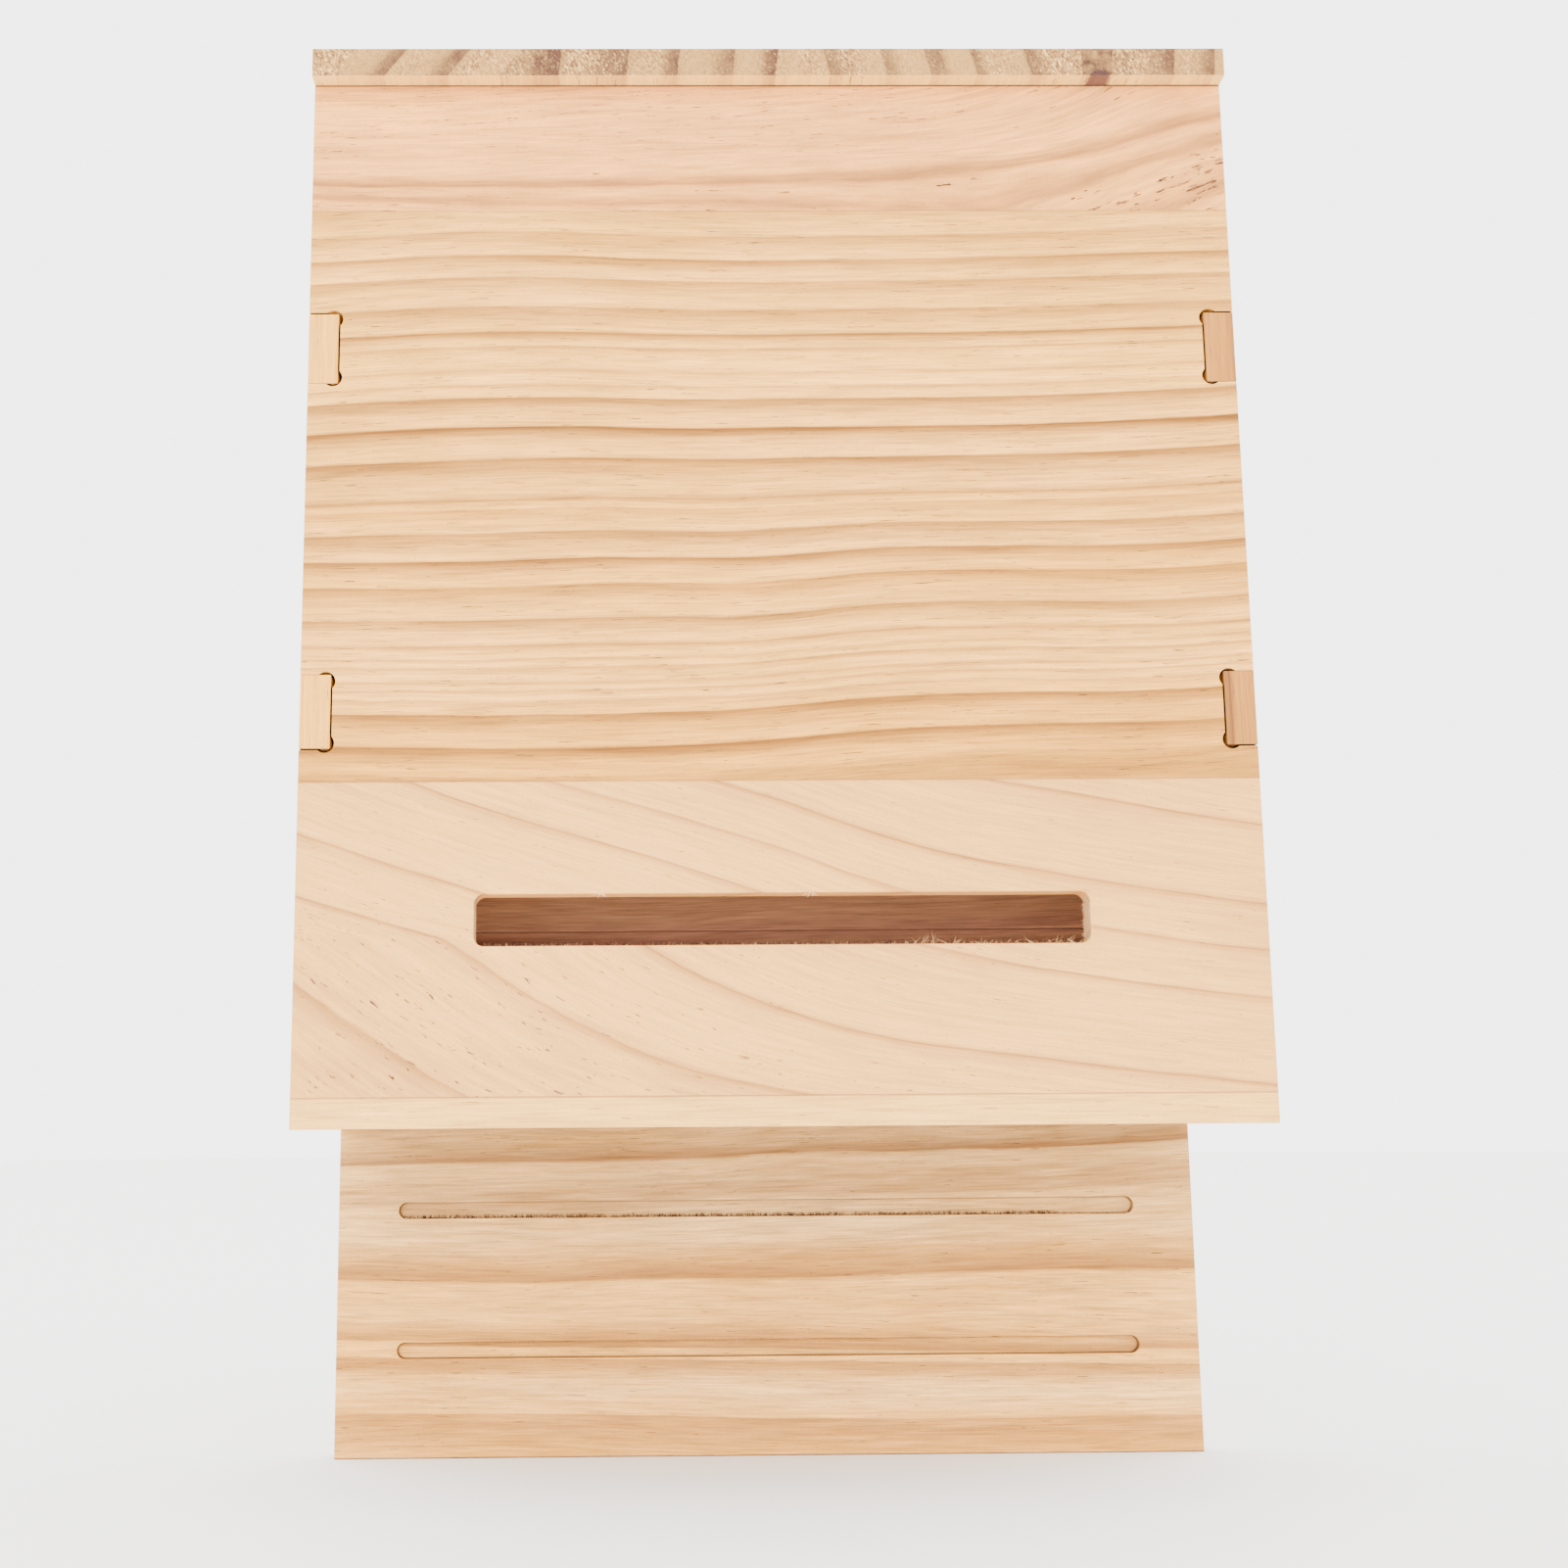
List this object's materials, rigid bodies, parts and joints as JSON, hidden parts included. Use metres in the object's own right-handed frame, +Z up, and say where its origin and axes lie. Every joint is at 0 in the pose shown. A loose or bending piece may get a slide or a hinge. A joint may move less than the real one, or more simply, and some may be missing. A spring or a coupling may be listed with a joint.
{
  "type": "bat box",
  "caption": "Wall-hung bat box of unfinished pine: tabbed side boards, slotted front panel, flat roof, and a grooved back board that runs on below as a landing.",
  "frame": {"origin": "on the wall plane, at the back board's rear face, midway between the two keyholes", "axes": "+Z up, +Y into the wall, +X to the right seen from the front, so the slotted front faces -Y"},
  "size_m": [0.3, 0.1188, 0.4616],
  "materials": {
    "pine_front_top": "planed, unfinished",
    "pine_front_wide": "planed, unfinished",
    "pine_front_slotted": "planed, unfinished",
    "pine_front_bottom": "planed, unfinished",
    "pine_back": "planed, unfinished",
    "pine_side_left": "planed, unfinished",
    "pine_side_right": "planed, unfinished",
    "pine_roof": "planed, sawn end grain",
    "zinc_plated_steel": "bright zinc"
  },
  "bodies": {
    "root": {"front_stave_top": "pine_front_top", "front_stave_wide": "pine_front_wide", "front_stave_slotted": "pine_front_slotted", "front_stave_bottom": "pine_front_bottom", "back_board": "pine_back", "side_board_left": "pine_side_left", "side_board_right": "pine_side_right", "roof_stave_left": "pine_roof", "roof_stave_inner_left": "pine_roof", "roof_stave_inner_right": "pine_roof", "roof_stave_right": "pine_roof", "roof_screws": "zinc_plated_steel"}
  },
  "joints": []
}
